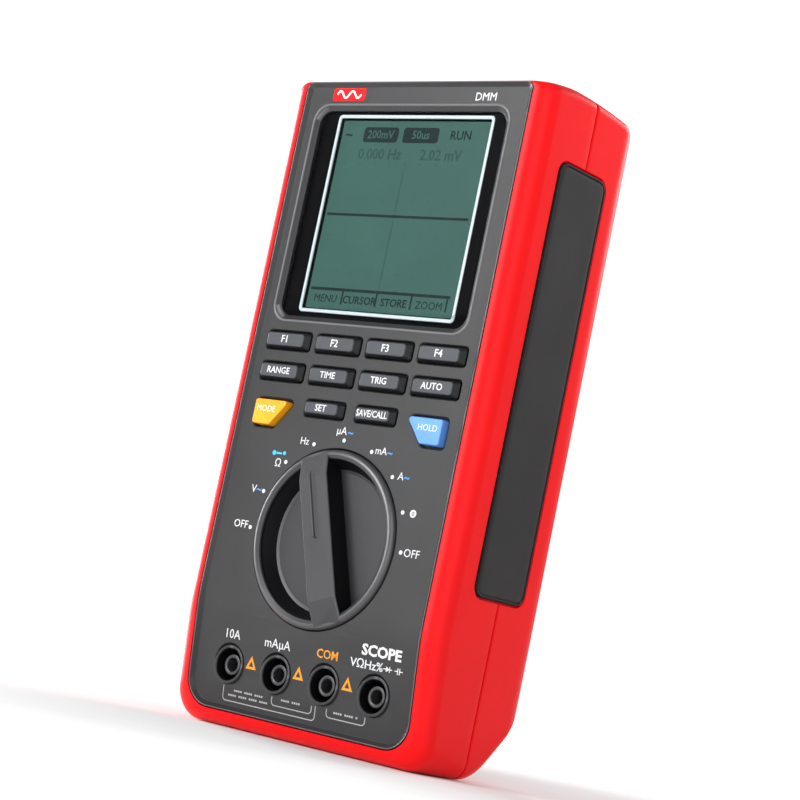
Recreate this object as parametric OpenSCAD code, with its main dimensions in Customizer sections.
// Handheld oscilloscope multimeter, standing upright on its base.
// +X is to the right of someone facing the screen, +Y runs from the front to the back, +Z is up.
// The origin is at the centre of the bounding box, on the base.
// Depths are measured from the front rim backwards, and from_lip() puts them into the part's frame.

/* [Body] */
// Width across the two sides
body_w = 100; // [98:0.5:104]
// Height from the base to the top of the crown
body_h = 200; // [198:0.5:206]
// Depth from the front rim to the back
body_d = 48.3; // [47.8:0.1:50]
// Wall thickness of the two shells
wall = 2.4; // [2:0.1:2.6]
// Depth of the parting line between the two shells
split_d = 24.3; // [24:0.1:25]
// Rounding from the front rim to the sides
side_front_r = 6; // [4:0.5:7]
// Rounding from the sides to the back
side_rear_r = 8; // [6:0.5:9]
// Rounding of the two lower corners, seen from the front
base_corner_r = 8; // [6:0.5:10]
// Rounding of the two upper corners, seen from the front
top_corner_r = 2; // [1.5:0.5:4]
// Height below which the front leans back
bend_z = 37; // [36:0.5:38]
// Angle of the leaning part of the front, in degrees
bend_angle = 7.2; // [5:0.1:8]
// Depth taken off the base at the back by the chamfer
chamfer_d = 18.3; // [17:0.1:19]
// Height of the chamfer on the back
chamfer_h = 19; // [18:0.5:19]
// Rise of the crowned top above its front edge
crown = 0.8; // [0.4:0.1:1.2]

/* [Front panel] */
// Width of the dark front panel
panel_w = 88; // [88:0.5:89]
// Height of the panel's lower edge
panel_z = 4.25; // [4:0.25:5]
// Rounding of the panel's lower corners
panel_corner_r = 9; // [7:0.5:11]
// How far the panel's flat lies behind its rim
panel_drop = 1.2; // [0.8:0.1:1.2]
// Thickness of the panel
panel_t = 2; // [1.6:0.1:2]

/* [Display] */
// Width of the window
window_w = 72.6; // [70:0.2:73]
// Height of the window
window_h = 65; // [64:0.2:66]
// How far right of the middle the window sits
window_x = -1.1; // [-1.5:0.1:0]
// Height of the window's centre
window_z = 157.8; // [157.6:0.1:158.2]
// Width of the display module's metal bezel
lcd_w = 61.2; // [59:0.2:62]
// Height of the bezel
lcd_h = 62.8; // [60:0.2:63]
// How far right of the middle the bezel sits
lcd_x = -0.6; // [-1:0.1:0]
// Height of the bezel's centre
lcd_z = 158.3; // [158:0.1:158.6]

/* [Keys] */
// Distance between the key columns
key_pitch = 20; // [19.8:0.1:20]
// Heights of the three key rows
key_rows = [117.3, 107.6, 97.6];
// Travel of a key
key_travel = 1; // [0.6:0.1:1]
// How far a key stands in front of the panel's flat
key_proud = 2; // [1.4:0.1:2.2]

/* [Selector] */
// Height of the selector's axis
knob_z = 59.6; // [59.4:0.1:60]
// Radius of the knob
knob_r = 26.7; // [26:0.1:26.8]
// Angle of the pointer to the left of straight up, in degrees
knob_angle = 20.5; // [0:0.5:90]
// Width of the knob's grip bar
bar_w = 10.4; // [9:0.2:11]
// How far the bar stands in front of the rim
bar_proud = 2; // [1.6:0.1:2.4]
// Radius of the selector's shaft
shaft_r = 4; // [3.5:0.1:4.2]
// Angle between two selector positions, in degrees
detent_step = 22.5; // [22.5]

/* [Test sockets] */
// Distance between neighbouring test sockets
jack_pitch = 19; // [19:0.05:19.05]
// Height of the test sockets
jack_z = 18.3; // [17.5:0.1:19]
// Bore radius of the 4 mm sockets
jack_bore_r = 2; // [2:0.05:2.05]
// Outer radius of a socket's insulating body
jack_r = 5.8; // [5.6:0.1:6]
// How far the brass tube lies behind the front of the insulating body
jack_sink = 6.2; // [5.5:0.1:7]

/* [Battery] */
// Radius of an AA cell
cell_r = 7.1; // [7:0.05:7.15]
// Length of an AA cell with its nub
cell_l = 50.5; // [50:0.1:50.5]

/* [Stand] */
// Width of the tilt stand
stand_w = 64; // [56:1:64]
// Height of the stand's hinge
stand_hinge_z = 101; // [100:0.5:102]
// Radius of the stand's hinge pins
stand_pin_r = 1.6; // [1.4:0.1:1.8]

/* [Hidden] */
$fn = 64;
red = "#e6292b";
charcoal = "#4a4c50";
black = "#1d1e20";
brass = "#c9a24a";
steel = "#b9bcc0";
board_green = "#1f6b43";
lip_y = (bar_proud - body_d) / 2;
flat_end = body_d - chamfer_d;
chamfer_m = chamfer_h / chamfer_d;
crown_d = 18;
foot_r = 5;
top_rear_r = 6;
panel_back = panel_drop + panel_t;
ledge_back = panel_back + 2;
ledge_in = 41;
fit_gap = 0.1;
run_gap = 0.05;
grip_z = [51.6, 179.1];
grip_d = [11.9, 35.7];
grip_corner_r = 3.6;
grip_sink = 1.2;
grip_proud = 0.3;
window_r = 4.5;
lens_front = 1.7;
bezel_w = 1.5;
carrier_size = [74, 71.6];
glass_d = [4.4, 6.4];
display_board_d = [8.9, 10.5];
main_board_d = [22, 23.6];
board_w = 76;
key_w = 18;
key_h = [6, 6, 5.4];
key_w_low = 16;
key_gap = 0.4;
key_flange = 0.8;
key_flange_d = [panel_back + fit_gap, panel_back + 0.9];
key_stem_end = 5.8;
side_key_out = 36.6;
side_key_top = 23;
side_key_low = 29.4;
side_key_z = [90.9, 98.6];
side_key_moat = 0.7;
rim_front = panel_drop - 1.5;
knob_floor = panel_drop + 4.2;
knob_back = knob_floor + 2;
knob_wall_r = 24.05;
knob_floor_r = 21.7;
rotor_d = [15.2, 19.6];
ring_in = 21.2;
ring_out = 24;
ball_r = 1.5;
ball_at = 19.4;
bush_r = 6.2;
bush_flange_r = 8;
shaft_end = 24;
jack_front = panel_drop + bend(jack_z) - 0.5;
jack_back = 21.9;
post_x = 35;
post_z = [40, 84];
post_r = 2.8;
boss_x = 42.6;
boss_z = [30, 186];
boss_r = 3.8;
carrier_screw_x = 33.8;
carrier_screw_z = 33.2;
tray_z = [21.5, 83];
tray_d = [26.2, 43];
pocket_z = [23.5, 77.5];
cell_pitch = 15;
cell_depth = 34.4;
contact_t = 0.4;
door_z = [24, 84];
door_w = 62;
door_d = [43.3, 45.1];
door_screw_x = 20;
door_screw_z = 80.3;
recess_d = 45.3;
recess_z = [14, stand_hinge_z + 3];
stand_d = [45.5, body_d - 0.1];
stand_bottom = 20;
stand_corner_r = 4;
barrel_r = 2.4;
hinge_d = body_d - barrel_r;
pan_t = 2.2;
pan_side = 3.7;
fuse_x = 19;
fuse_big_r = 5.15;
fuse_small_r = 3.2;
fuse_big_z = 89;
fuse_small_z = 99;
fuse_lift = 1.2;

// ---- shared geometry ----

// How far the leaning front lies behind the rim's plane at height z
function bend(z) = max(0, bend_z - z) * tan(bend_angle);

// Height of the crowned top at depth d
function top_z(d) = body_h - crown * pow((d - crown_d) / crown_d, 2);

// Height of the rear chamfer at depth d, moved inwards by t
function chamfer_z(d, t) = (d - flat_end) * chamfer_m + t * sqrt(1 + chamfer_m * chamfer_m);

// Depth at which the chamfer, moved inwards by t, meets height t
function chamfer_start(t) = flat_end + t * (1 - sqrt(1 + chamfer_m * chamfer_m)) / chamfer_m;

// Points along an arc
function arc(c, r, a0, a1, n = 8) =
    [for (i = [0:n]) c + r * [cos(a0 + (a1 - a0) * i / n), sin(a0 + (a1 - a0) * i / n)]];

// Rectangle with corner radius r0 at its lower edge and r1 at its upper edge
function round_rect(x0, x1, y0, y1, r0, r1) = concat(
    arc([x0 + r0, y0 + r0], r0, 180, 270),
    arc([x1 - r0, y0 + r0], r0, 270, 360),
    arc([x1 - r1, y1 - r1], r1, 0, 90),
    arc([x0 + r1, y1 - r1], r1, 90, 180)
);

// Rectangle of size w by h about [x, z], with one corner radius
function window(w, h, x, z, r) = round_rect(x - w / 2, x + w / 2, z - h / 2, z + h / 2, r, r);

// Body outline seen from the side as [depth, height], its front moved in by f and the rest by t
function side_outline(f, t) = concat(
    [[f, top_z(f) - t], [f, bend_z]],
    arc([f + bend(foot_r) + foot_r / cos(bend_angle), t + foot_r], foot_r, 180 + bend_angle, 270),
    [[chamfer_start(t), t], [body_d - t, chamfer_z(body_d - t, t)]],
    arc([body_d - t - top_rear_r, top_z(body_d - top_rear_r) - t - top_rear_r], top_rear_r, 0, 90),
    [for (i = [1:7]) let (d = f + (body_d - t - top_rear_r - f) * (1 - i / 8)) [d, top_z(d) - t]]
);

// Outline of a slanted side key, grown by g
function side_key_outline(g) = let (
    run = (side_key_low - side_key_top) / (side_key_z[1] - side_key_z[0]),
    slant = sqrt(1 + run * run)
) [
    [side_key_out + g, side_key_z[0] - g],
    [side_key_out + g, side_key_z[1] + g],
    [side_key_top - g * (slant + run), side_key_z[1] + g],
    [side_key_low - g * (slant - run), side_key_z[0] - g]
];

// Moves depths measured from the front rim into the part's frame
module from_lip() {
    translate([0, lip_y, 0]) children();
}

// Extrudes an [x, z] shape from depth d0 to depth d1
module along_depth(d0, d1) {
    translate([0, d1, 0]) rotate([90, 0, 0]) linear_extrude(d1 - d0) children();
}

// Extrudes a [depth, z] shape across the width
module along_width(w) {
    rotate([90, 0, 90]) linear_extrude(w, center = true) children();
}

// Round bar along the depth at [x, z]
module rod(x, z, r, d0, d1) {
    translate([x, d1, z]) rotate([90, 0, 0]) cylinder(r = r, h = d1 - d0);
}

// Body of revolution about the depth axis at [x, z], from a [radius, depth] profile
module turned(x, z, points) {
    translate([x, 0, z]) rotate([-90, 0, 0]) rotate_extrude() polygon(points);
}

// Box from its lowest to its highest corner
module block(low, high) {
    translate(low) cube(high - low);
}

// Closed body, its front moved in by f and its other faces by t
module body_solid(f, t) {
    x = body_w / 2 - t;
    intersection() {
        along_width(body_w) polygon(side_outline(f, t));
        along_depth(0, body_d) polygon(round_rect(-x, x, t, body_h - t, base_corner_r - t, top_corner_r));
        linear_extrude(body_h) polygon(round_rect(-x, x, f, body_d - t, side_front_r, side_rear_r - t));
    }
}

// Space in front of the panel's back, its outline grown by gap
module panel_space(gap) {
    x = panel_w / 2 + gap;
    intersection() {
        along_depth(-1, ledge_back + bend(0))
            polygon(round_rect(-x, x, panel_z - gap, body_h + 1, panel_corner_r, 1));
        along_width(body_w) polygon([
            [-1, 0],
            [panel_back + bend(0), 0],
            [panel_back, bend_z],
            [panel_back, body_h + 1],
            [-1, body_h + 1]
        ]);
    }
}

// Shallow pool inside the panel's rim, with sloping sides
module panel_pool() {
    edge = 0.4;
    x0 = panel_w / 2 - edge;
    x1 = x0 - panel_drop;
    low = panel_z + edge + panel_drop;
    high = top_z(0) - edge;
    intersection() {
        along_depth(-1, ledge_back)
            polygon(round_rect(-x0, x0, panel_z + edge, high, panel_corner_r - edge, 1));
        linear_extrude(body_h) polygon([
            [-x0, -1], [x0, -1], [x0, 0], [x1, panel_drop], [x1, ledge_back],
            [-x1, ledge_back], [-x1, panel_drop], [-x0, 0]
        ]);
        along_width(body_w) polygon([
            [-1, low - panel_drop],
            [bend(low), low - panel_drop],
            [panel_drop + bend(low), low],
            [panel_drop, bend_z],
            [panel_drop, high - panel_drop],
            [0, high],
            [-1, high]
        ]);
    }
}

// Puts its children at each of the four case screws
module at_case_screws() {
    for (side = [-1, 1])
        for (z = boss_z)
            translate([side * boss_x, 0, z]) children();
}

// Side grip's outline, extruded between two distances from the middle plane
module grip_block(x0, x1, gap) {
    translate([(x0 + x1) / 2, 0, 0]) along_width(x1 - x0) polygon(round_rect(
        grip_d[0] - gap, grip_d[1] + gap, grip_z[0] - gap, grip_z[1] + gap, grip_corner_r, grip_corner_r));
}

// Pockets for both side grips
module grip_pockets() {
    inner = body_w / 2 - grip_sink;
    grip_block(inner, body_w / 2 + 1, fit_gap);
    mirror([1, 0, 0]) grip_block(inner, body_w / 2 + 1, fit_gap);
}

// ---- case ----

// Ring-shaped front half of the case, with a ledge for the panel and four screw bosses
module front_shell() {
    color(red) from_lip() difference() {
        union() {
            difference() {
                body_solid(0, 0);
                body_solid(ledge_back, wall);
                along_depth(-1, ledge_back + bend(0)) polygon(round_rect(-ledge_in, ledge_in, 12, 195, 4, 4));
            }
            intersection() {
                body_solid(0, 0);
                at_case_screws() rod(0, 0, boss_r, ledge_back - 1, split_d);
            }
        }
        panel_space(fit_gap);
        block([-body_w, split_d, -1], [body_w, body_d + 1, body_h + 1]);
        grip_pockets();
        at_case_screws() rod(0, 0, 1.35, 10, split_d + 1);
    }
}

// Rear half of the case, with the stand's recess and the battery opening
module rear_shell() {
    x = stand_w / 2 + 0.3;
    color(red) from_lip() difference() {
        union() {
            difference() {
                body_solid(0, 0);
                body_solid(ledge_back, wall);
            }
            intersection() {
                body_solid(0, 0);
                union() {
                    block([-x - pan_side, recess_d - pan_t, 17], [x + pan_side, body_d, recess_z[1] + 4]);
                    block([-x - pan_side, hinge_d - 5, recess_z[1] - 9],
                        [x + pan_side, body_d, recess_z[1] + 4]);
                    at_case_screws() rod(0, 0, boss_r, split_d, body_d);
                }
            }
        }
        block([-body_w, -1, -1], [body_w, split_d, body_h + 1]);
        grip_pockets();
        block([-x, recess_d, recess_z[0]], [x, body_d + 1, recess_z[1]]);
        translate([0, hinge_d, stand_hinge_z]) rotate([0, 90, 0])
            cylinder(r = barrel_r + 0.4, h = 2 * x, center = true);
        translate([0, hinge_d, stand_hinge_z]) rotate([0, 90, 0])
            cylinder(r = stand_pin_r + run_gap, h = 2 * (x + pan_side) + 1, center = true);
        block([-door_w / 2 - fit_gap, door_d[0] - 1, door_z[0] - fit_gap],
            [door_w / 2 + fit_gap, body_d, door_z[1] + fit_gap]);
        at_case_screws() {
            rod(0, 0, 1.7, split_d - 1, body_d + 1);
            rod(0, 0, 3.3, body_d - 4.3, body_d + 1);
        }
    }
}

// Rubber inlay in the right side
module grip_right() {
    color(charcoal) from_lip() grip_block(body_w / 2 - grip_sink, body_w / 2 + grip_proud, 0);
}

// Rubber inlay in the left side
module grip_left() {
    mirror([1, 0, 0]) grip_right();
}

// Dark front panel with its openings and the four posts for the main board
module front_panel() {
    color(charcoal) from_lip() difference() {
        union() {
            difference() {
                intersection() {
                    panel_space(0);
                    body_solid(0, 0);
                }
                panel_pool();
            }
            for (side = [-1, 1])
                for (z = post_z)
                    rod(side * post_x, z, post_r, panel_drop + 1, main_board_d[0]);
        }
        along_depth(0, ledge_back) polygon(window(window_w, window_h, window_x, window_z, window_r));
        for (row = [0, 1])
            for (column = [-1.5:1.5])
                key_opening(column * key_pitch, row, key_w);
        for (column = [-0.5, 0.5])
            key_opening(column * key_pitch, 2, key_w_low);
        along_depth(0, ledge_back) polygon(side_key_outline(side_key_moat));
        mirror([1, 0, 0]) along_depth(0, ledge_back) polygon(side_key_outline(side_key_moat));
        rod(0, knob_z, knob_r + 0.35, -1, ledge_back);
        for (i = [0:3])
            rod(jack_x(i), jack_z, jack_r + fit_gap, -1, ledge_back + bend(0));
        for (side = [-1, 1])
            for (z = post_z)
                rod(side * post_x, z, 1.05, main_board_d[0] - 9, main_board_d[0] + 1);
    }
}

// Opening for one straight key
module key_opening(x, row, w) {
    z = key_rows[row];
    h = key_h[row];
    along_depth(0, ledge_back) polygon(round_rect(x - w / 2, x + w / 2, z - h / 2, z + h / 2, 0.8, 0.8));
}

// ---- display ----

// Clear window, flush inside the panel's opening
module lens() {
    color("#9fb9c0", 0.4) from_lip() along_depth(lens_front, panel_back)
        polygon(window(window_w - 2 * fit_gap, window_h - 2 * fit_gap, window_x, window_z,
            window_r - fit_gap));
}

// Bright metal bezel around the visible area
module lcd_bezel() {
    color("#e4edf0") from_lip() difference() {
        along_depth(panel_back, glass_d[0]) polygon(window(lcd_w, lcd_h, lcd_x, lcd_z, 1.6));
        along_depth(0, ledge_back)
            polygon(window(lcd_w - 2 * bezel_w, lcd_h - 2 * bezel_w, lcd_x, lcd_z, 0.6));
    }
}

// Liquid crystal cell
module lcd_glass() {
    color("#4f7d73") from_lip() along_depth(glass_d[0], glass_d[1])
        polygon(window(lcd_w, lcd_h, lcd_x, lcd_z, 0.5));
}

// Light guide behind the liquid crystal cell
module backlight() {
    color("white") from_lip()
        along_depth(glass_d[1], display_board_d[0] - fit_gap)
            polygon(window(lcd_w, lcd_h, lcd_x, lcd_z, 0.5));
}

// Black frame that carries the display module and the window
module lcd_carrier() {
    color(black) from_lip() difference() {
        along_depth(panel_back, display_board_d[0])
            polygon(window(carrier_size[0], carrier_size[1], 0, lcd_z, 2));
        along_depth(0, 2 * ledge_back)
            polygon(window(lcd_w + 2 * fit_gap, lcd_h + 2 * fit_gap, lcd_x, lcd_z, 1.6));
        at_carrier_screws() rod(0, 0, 1.05, panel_back + 1, display_board_d[0] + 1);
    }
}

// Puts its children at the display board's four screws
module at_carrier_screws() {
    for (side = [-1, 1])
        for (end = [-1, 1])
            translate([side * carrier_screw_x, 0, lcd_z + end * carrier_screw_z]) children();
}

// Board behind the display and the keys
module display_board() {
    color(board_green) from_lip() difference() {
        along_depth(display_board_d[0], display_board_d[1])
            polygon(round_rect(-board_w / 2, board_w / 2, 88.5, 194, 2, 2));
        at_carrier_screws() rod(0, 0, 1.2, 0, main_board_d[0]);
    }
}

// Rubber key mat with a dome under each key
module key_mat() {
    top = key_stem_end + key_travel + 0.1;
    color(black) from_lip() {
        along_depth(top + 0.5, display_board_d[0])
            polygon(round_rect(-board_w / 2, board_w / 2, 89, 121.5, 1.5, 1.5));
        for (row = [0, 1])
            for (column = [-1.5:1.5])
                rod(column * key_pitch, key_rows[row], 2.4, top, top + 1);
        for (x = [-31.5, -key_pitch / 2, key_pitch / 2, 31.5])
            rod(x, key_rows[2] - 1, 2.4, top, top + 1);
    }
}

// ---- boards ----

// Board that carries the selector's tracks, the sockets and the fuses
module main_board() {
    color(board_green) from_lip() difference() {
        along_depth(main_board_d[0], main_board_d[1])
            polygon(round_rect(-board_w / 2, board_w / 2, 8.5, 103.5, 5, 2));
        rod(0, knob_z, bush_r + fit_gap, 0, body_d);
        for (side = [-1, 1])
            for (z = post_z)
                rod(side * post_x, z, 1.2, 0, body_d);
        for (i = [0:3])
            rod(jack_x(i), jack_z, 1.6, 0, body_d);
    }
}

// Header that joins the two boards
module board_connector() {
    color(black) from_lip() block([-12, display_board_d[1], 92], [12, main_board_d[0], 97]);
}

// Packages soldered to the two boards
module board_chips() {
    color(black) from_lip() {
        for (chip = [[-6, 150, 14], [-24, 172, 18], [14, 172, 12], [-24, 140, 10]])
            block([chip[0], display_board_d[1], chip[1]],
                [chip[0] + chip[2], display_board_d[1] + 1.4, chip[1] + chip[2]]);
        for (chip = [[26.5, 58, 8], [-34.5, 58, 8], [-33, 66, 6]])
            block([chip[0], main_board_d[0] - 1.4, chip[1]],
                [chip[0] + chip[2], main_board_d[0], chip[1] + 7]);
    }
}

// Steel can over the input amplifier
module shield_can() {
    front = main_board_d[1];
    color(steel) from_lip() difference() {
        block([-26, front, 24], [26, front + 2.2, 50]);
        block([-25.6, front - 1, 24.4], [25.6, front + 1.8, 49.6]);
    }
}

// Beeper on the display board
module buzzer() {
    color(black) from_lip() difference() {
        rod(24, 150, 6, display_board_d[1], display_board_d[1] + 4.5);
        rod(24, 150, 1, display_board_d[1] + 3, display_board_d[1] + 5);
    }
}

// ---- selector ----

// Puts its children at the selector's axis, turned to the pointer
module at_selector() {
    translate([0, 0, knob_z]) rotate([0, -knob_angle, 0]) children();
}

// Cup-shaped knob with a grip bar across it, a pointer groove and the shaft behind
module knob() {
    bar_slope_at = 19;
    groove_w = 1.6;
    groove_top = 20.5;
    groove_depth = 0.6;
    color(charcoal) from_lip() at_selector() difference() {
        union() {
            turned(0, 0, [
                [0, knob_floor],
                [knob_floor_r, knob_floor],
                [knob_wall_r, rim_front + 1],
                [knob_r - 0.8, rim_front],
                [knob_r, rim_front + 0.6],
                [knob_r, knob_back],
                [shaft_r, knob_back],
                [shaft_r, shaft_end],
                [shaft_r - 1, shaft_end],
                [shaft_r - 1, shaft_end + 0.8],
                [shaft_r - 0.2, shaft_end + 0.8],
                [shaft_r - 0.2, shaft_end + 1.4],
                [0, shaft_end + 1.4]
            ]);
            intersection() {
                along_width(bar_w) polygon([
                    [knob_floor, -knob_r],
                    [rim_front, -knob_r],
                    [-bar_proud, -bar_slope_at],
                    [-bar_proud, bar_slope_at],
                    [rim_front, knob_r],
                    [knob_floor, knob_r]
                ]);
                rod(0, 0, knob_r - 0.4, -body_d, knob_floor);
            }
        }
        block([-groove_w / 2, -bar_proud - 1, 0], [groove_w / 2, groove_depth - bar_proud, groove_top]);
        rod(0, 0, groove_w / 2, -bar_proud - 1, groove_depth - bar_proud);
    }
}

// Disc pressed on the shaft, with two radial pockets for the balls
module selector_rotor() {
    color("#d8d4c4") from_lip() at_selector() difference() {
        rod(0, 0, ring_in - 0.8, rotor_d[0], rotor_d[1]);
        rod(0, 0, shaft_r, 0, body_d);
        at_balls() rotate([0, 90, 0]) translate([0, 0, 13.8 - ball_at])
            cylinder(r = ball_r + run_gap, h = 10);
    }
}

// Puts its children at the two balls, on either side of the pointer
module at_balls() {
    for (side = [0, 1])
        mirror([side, 0, 0]) translate([ball_at, (rotor_d[0] + rotor_d[1]) / 2, 0]) children();
}

// Steel balls that drop into the ring's notches
module detent_balls() {
    color(steel) from_lip() at_selector() at_balls() sphere(r = ball_r);
}

// Springs that push the balls outwards
module detent_springs() {
    spring_r = 1.1;
    wire_r = 0.25;
    turns = 8;
    color(steel) from_lip() at_selector() at_balls() rotate([0, -90, 0])
        for (i = [0:turns])
            translate([0, 0, ball_r + 0.1 + wire_r + i * 1.6 * wire_r])
                rotate_extrude() translate([spring_r - wire_r, 0]) circle(r = wire_r, $fn = 16);
}

// Phosphor bronze wipers under the rotor
module contact_wipers() {
    color(brass) from_lip() at_selector()
        for (a = [0:120:240]) rotate([0, a, 0]) {
            block([-0.8, rotor_d[1], 10], [0.8, rotor_d[1] + 0.4, 18]);
            block([-0.8, rotor_d[1] + 0.4, 16.6], [0.8, main_board_d[0] - 0.4, 18]);
        }
}

// Retaining clip on the end of the shaft
module shaft_clip() {
    color(steel) from_lip() at_selector() difference() {
        rod(0, 0, 5.8, shaft_end + 0.05, shaft_end + 0.75);
        rod(0, 0, shaft_r - 0.95, 0, body_d);
        block([-1.6, 0, -8], [1.6, body_d, 0]);
    }
}

// Notched ring on the board, one notch for each step of a full turn
module detent_ring() {
    color(black) from_lip() translate([0, 0, knob_z]) difference() {
        rod(0, 0, ring_out, rotor_d[0], main_board_d[0]);
        rod(0, 0, ring_in, 0, body_d);
        for (i = [0:360 / detent_step - 1])
            rotate([0, i * detent_step - knob_angle + 90, 0]) rod(0, ring_in + 0.3, 1.4, 0, body_d);
    }
}

// Brass bush that the shaft turns in
module selector_bush() {
    color(brass) from_lip() turned(0, knob_z, [
        [shaft_r + run_gap, rotor_d[1] + 0.6],
        [bush_flange_r, rotor_d[1] + 0.6],
        [bush_flange_r, main_board_d[0]],
        [bush_r, main_board_d[0]],
        [bush_r, main_board_d[1] + 0.3],
        [shaft_r + run_gap, main_board_d[1] + 0.3]
    ]);
}

// ---- test sockets ----

// Place of test socket i across the width
function jack_x(i) = (i - 1.5) * jack_pitch;

// Insulating body with an annular space for a shrouded plug and a collar that lines the bore's mouth
module jack_shroud(i) {
    collar_r = 3.15;
    collar_front = jack_front + 1.8;
    base_d = jack_back - 2.4;
    tube_r = jack_bore_r + 0.45;
    lined_end = jack_front + jack_sink;
    color(black) from_lip() turned(jack_x(i), jack_z, [
        [jack_bore_r, collar_front],
        [collar_r, collar_front],
        [collar_r, base_d],
        [jack_r - 1.05, base_d],
        [jack_r - 1.05, jack_front],
        [jack_r, jack_front],
        [jack_r, jack_back],
        [tube_r, jack_back],
        [tube_r, lined_end],
        [jack_bore_r, lined_end]
    ]);
}

// Brass tube with a solder tail
module jack_socket(i) {
    front = jack_front + jack_sink;
    color(brass) from_lip() difference() {
        union() {
            rod(jack_x(i), jack_z, jack_bore_r + 0.4, front, jack_back);
            rod(jack_x(i), jack_z, 1.5, jack_back - 1, main_board_d[1] + 1);
        }
        rod(jack_x(i), jack_z, jack_bore_r, front - 1, jack_back - 1.9);
    }
}

// ---- keys ----

// Straight key: tapered cap, flange behind the panel and a stem over the mat
module straight_key(column, row, w) {
    x = column * key_pitch;
    z = key_rows[row];
    front = panel_drop - key_proud;
    bx = w / 2 - key_gap;
    bz = key_h[row] / 2 - key_gap;
    taper_x = 1.4;
    taper_z = 0.8;
    color("#2b2d31") from_lip() translate([x, 0, z]) {
        intersection() {
            linear_extrude(2 * bz, center = true) polygon([
                [-bx, key_flange_d[0]], [-bx, panel_drop], [-bx + taper_x, front],
                [bx - taper_x, front], [bx, panel_drop], [bx, key_flange_d[0]]
            ]);
            along_width(2 * bx) polygon([
                [key_flange_d[0], -bz], [panel_drop, -bz], [front, -bz + taper_z],
                [front, bz - taper_z], [panel_drop, bz], [key_flange_d[0], bz]
            ]);
        }
        key_foot(w / 2 + key_flange, key_h[row] / 2 + key_flange, 0, 0);
    }
}

// Flange of half size fx by fz and the stem behind it, the stem at [sx, sz]
module key_foot(fx, fz, sx, sz) {
    block([-fx, key_flange_d[0], -fz], [fx, key_flange_d[1], fz]);
    block([sx - 2, key_flange_d[0], sz - 1.5], [sx + 2, key_stem_end, sz + 1.5]);
}

// Slanted key beside the lower row
module side_key() {
    from_lip() {
        along_depth(panel_drop - key_proud, key_flange_d[0]) polygon(side_key_outline(0));
        along_depth(key_flange_d[0], key_flange_d[1]) polygon(side_key_outline(side_key_moat + key_flange));
        translate([31.5, 0, key_rows[2] - 1]) key_foot(2, 1.5, 0, 0);
    }
}

module key_f1() { straight_key(-1.5, 0, key_w); }
module key_f2() { straight_key(-0.5, 0, key_w); }
module key_f3() { straight_key(0.5, 0, key_w); }
module key_f4() { straight_key(1.5, 0, key_w); }
module key_range() { straight_key(-1.5, 1, key_w); }
module key_time() { straight_key(-0.5, 1, key_w); }
module key_trig() { straight_key(0.5, 1, key_w); }
module key_auto() { straight_key(1.5, 1, key_w); }
module key_set() { straight_key(-0.5, 2, key_w_low); }
module key_recall() { straight_key(0.5, 2, key_w_low); }
module key_mode() { color("#ffc61a") mirror([1, 0, 0]) side_key(); }
module key_hold() { color("#5ab4f0") side_key(); }

// ---- fuses ----

// Cartridge fuse of radius r lying across the main board at height z
module fuse(r, z) {
    cap_l = 6;
    depth = main_board_d[1] + fuse_lift + r;
    from_lip() translate([0, depth, z]) rotate([0, 90, 0]) {
        color("#efe9dc") cylinder(r = r - 0.3, h = 2 * fuse_x, center = true);
        color(steel)
            for (side = [0, 1])
                mirror([0, 0, side]) translate([0, 0, fuse_x - cap_l]) cylinder(r = r, h = cap_l);
    }
}

module fuse_10a() { fuse(fuse_big_r, fuse_big_z); }
module fuse_500ma() { fuse(fuse_small_r, fuse_small_z); }

// Spring clips that hold both fuses
module fuse_clips() {
    color(brass) from_lip()
        for (side = [-1, 1]) {
            fuse_clip(side, fuse_big_r, fuse_big_z);
            fuse_clip(side, fuse_small_r, fuse_small_z);
        }
}

// One clip, open to the back
module fuse_clip(side, r, z) {
    clip_w = 5;
    depth = main_board_d[1] + fuse_lift + r;
    translate([side * (fuse_x - 3), depth, z]) difference() {
        union() {
            rotate([0, 90, 0]) cylinder(r = r + 0.4, h = clip_w, center = true);
            block([-clip_w / 2, -r - fuse_lift, -1.5], [clip_w / 2, -r + 1, 1.5]);
        }
        rotate([0, 90, 0]) cylinder(r = r, h = clip_w + 1, center = true);
        block([-clip_w, r * 0.5, -2 * r], [clip_w, 2 * r, 2 * r]);
    }
}

// ---- battery ----

// Place of cell i across the width
function cell_x(i) = (i - 2.5) * cell_pitch;

// Tray for four cells side by side, open to the back
module battery_tray() {
    half = 2 * cell_pitch;
    color(black) from_lip() difference() {
        block([-half - 1, tray_d[0], tray_z[0]], [half + 1, tray_d[1], tray_z[1]]);
        for (i = [1:4])
            block([cell_x(i) - 7.2, tray_d[0] + 0.8, pocket_z[0]],
                [cell_x(i) + 7.2, tray_d[1] + 1, pocket_z[1]]);
        for (side = [-1, 1])
            rod(side * door_screw_x, door_screw_z, 1.35, tray_d[1] - 8, tray_d[1] + 1);
    }
}

// AA cell i, every second one upside down
module cell(i) {
    nub_l = 1.1;
    spring_l = 2.4;
    middle = (pocket_z[0] + pocket_z[1]) / 2;
    color(i % 2 == 0 ? "#8a8f94" : "#c8933a") from_lip() translate([cell_x(i), cell_depth, middle])
        mirror([0, 0, i % 2]) translate([0, 0, (spring_l - cell_l) / 2]) {
            cylinder(r = cell_r, h = cell_l - nub_l);
            cylinder(r = 2.75, h = cell_l);
        }
}

module cell_1() { cell(1); }
module cell_2() { cell(2); }
module cell_3() { cell(3); }
module cell_4() { cell(4); }

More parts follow.
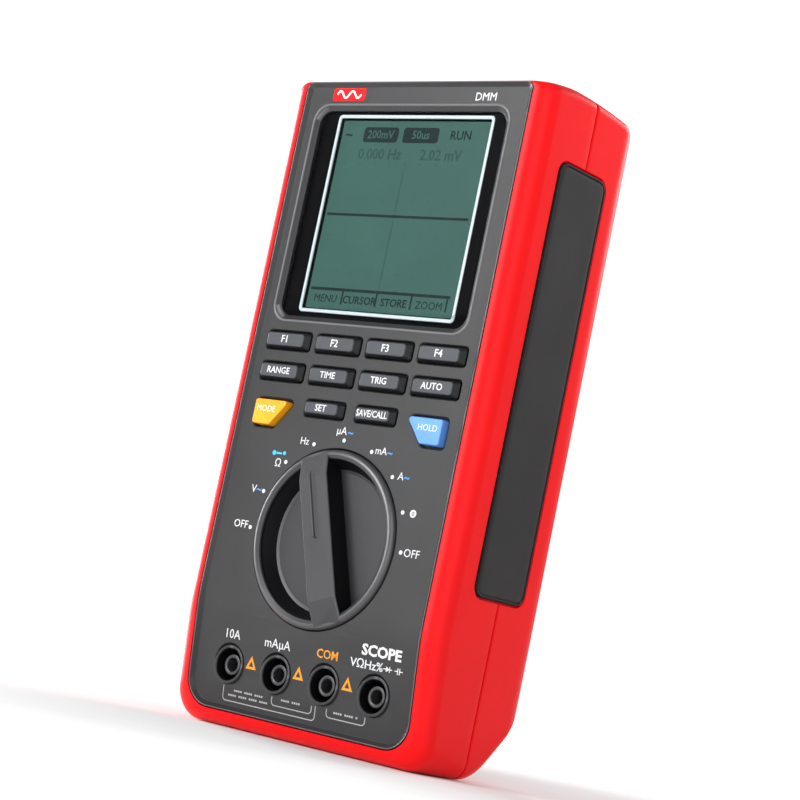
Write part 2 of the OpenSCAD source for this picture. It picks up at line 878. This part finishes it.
// Contact plates at both ends of the pockets, and conical springs at the flat ends
module battery_contacts() {
    middle = (pocket_z[0] + pocket_z[1]) / 2;
    half = (pocket_z[1] - pocket_z[0]) / 2;
    color(steel) from_lip()
        for (i = [1:4])
            translate([cell_x(i), cell_depth, middle]) {
                for (end = [0, 1])
                    mirror([0, 0, end]) block([-5, -5, -half], [5, 5, contact_t - half]);
                mirror([0, 0, i % 2]) for (turn = [0:2])
                    translate([0, 0, contact_t - half + 0.3 + turn * 0.6])
                        rotate_extrude() translate([4 - turn * 0.5, 0]) circle(r = 0.4, $fn = 16);
            }
}

// Door in the floor of the stand's recess
module battery_door() {
    color(charcoal) from_lip() difference() {
        block([-door_w / 2, door_d[0], door_z[0]], [door_w / 2, door_d[1], door_z[1]]);
        for (side = [-1, 1]) {
            rod(side * door_screw_x, door_screw_z, 1.5, 0, body_d);
            rod(side * door_screw_x, door_screw_z, 2.7, door_d[1] - 1.2, body_d);
        }
    }
}

// Screw with a slotted-cross head, its head towards the back
module screw(x, z, head_d, head_r, head_t, shank_r, tip_d) {
    slot = head_r * 0.28;
    difference() {
        union() {
            rod(x, z, head_r, head_d - head_t, head_d);
            rod(x, z, shank_r, tip_d, head_d - head_t / 2);
        }
        for (a = [0, 90])
            translate([x, head_d, z]) rotate([0, a, 0])
                block([-head_r * 0.7, -head_t * 0.5, -slot], [head_r * 0.7, 1, slot]);
    }
}

// Two screws that hold the battery door
module door_screws() {
    color(steel) from_lip()
        for (side = [-1, 1])
            screw(side * door_screw_x, door_screw_z, door_d[1] - 0.1, 2.6, 1.1, 1.3, tray_d[1] - 7);
}

// Four screws that hold the two shells together
module case_screws() {
    color(steel) from_lip() at_case_screws() screw(0, 0, body_d - 2.3, 3, 2, 1.3, 12);
}

// Screws that hold the two boards
module board_screws() {
    color(steel) from_lip() {
        for (side = [-1, 1])
            for (z = post_z)
                screw(side * post_x, z, main_board_d[1] + 1.4, 2.2, 1.4, 1, main_board_d[0] - 8);
        at_carrier_screws() screw(0, 0, display_board_d[1] + 1.4, 2.2, 1.4, 1, panel_back + 1.5);
    }
}

// ---- stand ----

// Tilt stand: a plate hung on a barrel with two integral pins
module stand() {
    color(charcoal) from_lip() difference() {
        union() {
            along_depth(stand_d[0], stand_d[1])
                polygon(round_rect(-stand_w / 2, stand_w / 2, stand_bottom, stand_hinge_z,
                    stand_corner_r, 0.5));
            translate([0, hinge_d, stand_hinge_z]) rotate([0, 90, 0]) {
                cylinder(r = barrel_r - 0.1, h = stand_w, center = true);
                cylinder(r = stand_pin_r, h = stand_w + 2 * pan_side - 1, center = true);
            }
        }
        along_depth(0, body_d + 1) polygon(round_rect(-18, 18, stand_bottom + 14, stand_bottom + 58, 4, 4));
    }
}

module jack_shroud_10a() { jack_shroud(0); }
module jack_shroud_ma() { jack_shroud(1); }
module jack_shroud_com() { jack_shroud(2); }
module jack_shroud_v() { jack_shroud(3); }
module jack_socket_10a() { jack_socket(0); }
module jack_socket_ma() { jack_socket(1); }
module jack_socket_com() { jack_socket(2); }
module jack_socket_v() { jack_socket(3); }

front_shell();
rear_shell();
front_panel();
grip_left();
grip_right();
lens();
lcd_bezel();
lcd_glass();
backlight();
lcd_carrier();
display_board();
key_mat();
main_board();
board_connector();
board_chips();
shield_can();
buzzer();
knob();
selector_rotor();
contact_wipers();
detent_balls();
detent_springs();
shaft_clip();
detent_ring();
selector_bush();
jack_shroud_10a();
jack_shroud_ma();
jack_shroud_com();
jack_shroud_v();
jack_socket_10a();
jack_socket_ma();
jack_socket_com();
jack_socket_v();
key_f1();
key_f2();
key_f3();
key_f4();
key_range();
key_time();
key_trig();
key_auto();
key_mode();
key_set();
key_recall();
key_hold();
fuse_10a();
fuse_500ma();
fuse_clips();
battery_tray();
cell_1();
cell_2();
cell_3();
cell_4();
battery_contacts();
battery_door();
door_screws();
stand();
case_screws();
board_screws();
